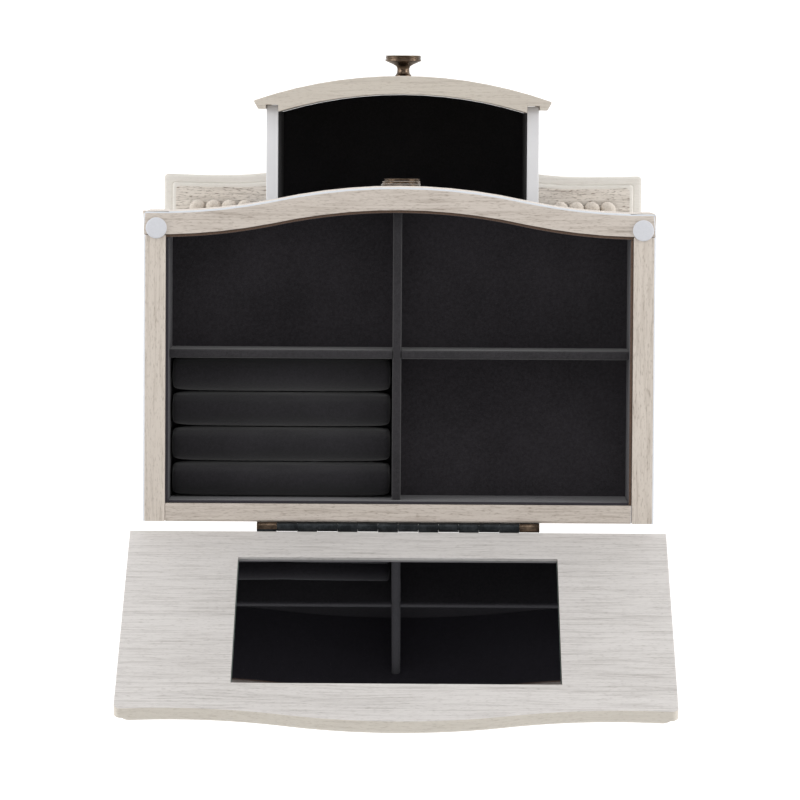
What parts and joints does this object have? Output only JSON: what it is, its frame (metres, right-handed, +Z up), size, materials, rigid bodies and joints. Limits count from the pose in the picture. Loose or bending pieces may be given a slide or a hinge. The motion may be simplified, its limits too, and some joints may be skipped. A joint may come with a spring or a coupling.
{
  "type": "jewelry armoire",
  "caption": "Floor-standing jewelry armoire with a flip lid and mirror over a felt-lined divided tray, bow-fronted drawers, reeded side doors and bracket feet.",
  "frame": {"origin": "on the floor, under the middle of the armoire's box as it is shown, lid open and bottom drawer out", "axes": "+Z up; the front with its drawers looks along -Y; +X is the armoire's side that is to the right when it is seen from the front"},
  "size_m": [0.4788, 0.555, 1.2068],
  "materials": {
    "whitewashed_wood": "whitewashed open-grain wood, satin lacquer",
    "painted_drawer_wood": "pale cool grey paint on drawer boxes",
    "black_felt": "black felt",
    "pale_felt": "pale grey felt disc",
    "aged_bronze": "antique dark bronze",
    "dark_steel": "blackened steel",
    "mirror_glass": "silvered mirror"
  },
  "bodies": {
    "case": {"base_board": "whitewashed_wood", "plinth_frame": "whitewashed_wood", "partition_left": "whitewashed_wood", "partition_right": "whitewashed_wood", "back_panel": "whitewashed_wood", "tray_front_wall": "whitewashed_wood", "tray_left_wall": "whitewashed_wood", "tray_right_wall": "whitewashed_wood", "tray_back_wall": "whitewashed_wood", "drawer_shelf_1": "painted_drawer_wood", "drawer_shelf_2": "painted_drawer_wood", "drawer_shelf_3": "painted_drawer_wood", "tray_floor": "black_felt", "divider_long": "black_felt", "divider_cross": "black_felt", "ring_roll_1": "black_felt", "ring_roll_2": "black_felt", "ring_roll_3": "black_felt", "ring_roll_4": "black_felt", "bumper_left": "pale_felt", "bumper_right": "pale_felt", "hinge_leaf_case": "dark_steel", "hinge_pin": "aged_bronze", "necklace_hooks_left": "aged_bronze", "necklace_hooks_right": "aged_bronze", "door_left_hinge_leaf_case": "aged_bronze", "door_right_hinge_leaf_case": "aged_bronze"},
    "lid": {"lid_panel": "whitewashed_wood", "mirror": "mirror_glass", "hinge_leaf_lid": "dark_steel"},
    "drawer_1": {"drawer_1_front": "whitewashed_wood", "drawer_1_left_side": "painted_drawer_wood", "drawer_1_right_side": "painted_drawer_wood", "drawer_1_back": "painted_drawer_wood", "drawer_1_bottom": "black_felt", "drawer_1_knob": "aged_bronze"},
    "drawer_2": {"drawer_2_front": "whitewashed_wood", "drawer_2_left_side": "painted_drawer_wood", "drawer_2_right_side": "painted_drawer_wood", "drawer_2_back": "painted_drawer_wood", "drawer_2_bottom": "black_felt", "drawer_2_knob": "aged_bronze"},
    "drawer_3": {"drawer_3_front": "whitewashed_wood", "drawer_3_left_side": "painted_drawer_wood", "drawer_3_right_side": "painted_drawer_wood", "drawer_3_back": "painted_drawer_wood", "drawer_3_bottom": "black_felt", "drawer_3_knob": "aged_bronze"},
    "drawer_4": {"drawer_4_front": "whitewashed_wood", "drawer_4_left_side": "painted_drawer_wood", "drawer_4_right_side": "painted_drawer_wood", "drawer_4_back": "painted_drawer_wood", "drawer_4_bottom": "black_felt", "drawer_4_knob": "aged_bronze"},
    "door_left": {"door_left_panel": "whitewashed_wood", "door_left_pilaster": "whitewashed_wood", "door_left_hinge_leaf_door": "aged_bronze"},
    "door_right": {"door_right_panel": "whitewashed_wood", "door_right_pilaster": "whitewashed_wood", "door_right_hinge_leaf_door": "aged_bronze"}
  },
  "joints": [
    {"name": "lid_hinge", "type": "hinge", "parent": "case", "child": "lid", "pos_m": [0, 0.1307, 0.945], "axis": [1, 0, 0], "range_deg": [0, 117]},
    {"name": "drawer_1_slide", "type": "slide", "parent": "case", "child": "drawer_1", "axis": [0, -1, 0], "range_m": [0, 0.15]},
    {"name": "drawer_2_slide", "type": "slide", "parent": "case", "child": "drawer_2", "axis": [0, -1, 0], "range_m": [0, 0.15]},
    {"name": "drawer_3_slide", "type": "slide", "parent": "case", "child": "drawer_3", "axis": [0, -1, 0], "range_m": [0, 0.15]},
    {"name": "drawer_4_slide", "type": "slide", "parent": "case", "child": "drawer_4", "axis": [0, -1, 0], "range_m": [-0.118, 0.032]},
    {"name": "door_left_hinge", "type": "hinge", "parent": "case", "child": "door_left", "pos_m": [-0.2166, 0.11435, 0.4965], "axis": [0, 0, -1], "range_deg": [0, 100]},
    {"name": "door_right_hinge", "type": "hinge", "parent": "case", "child": "door_right", "pos_m": [0.2166, 0.11435, 0.4965], "axis": [0, 0, 1], "range_deg": [0, 100]}
  ]
}
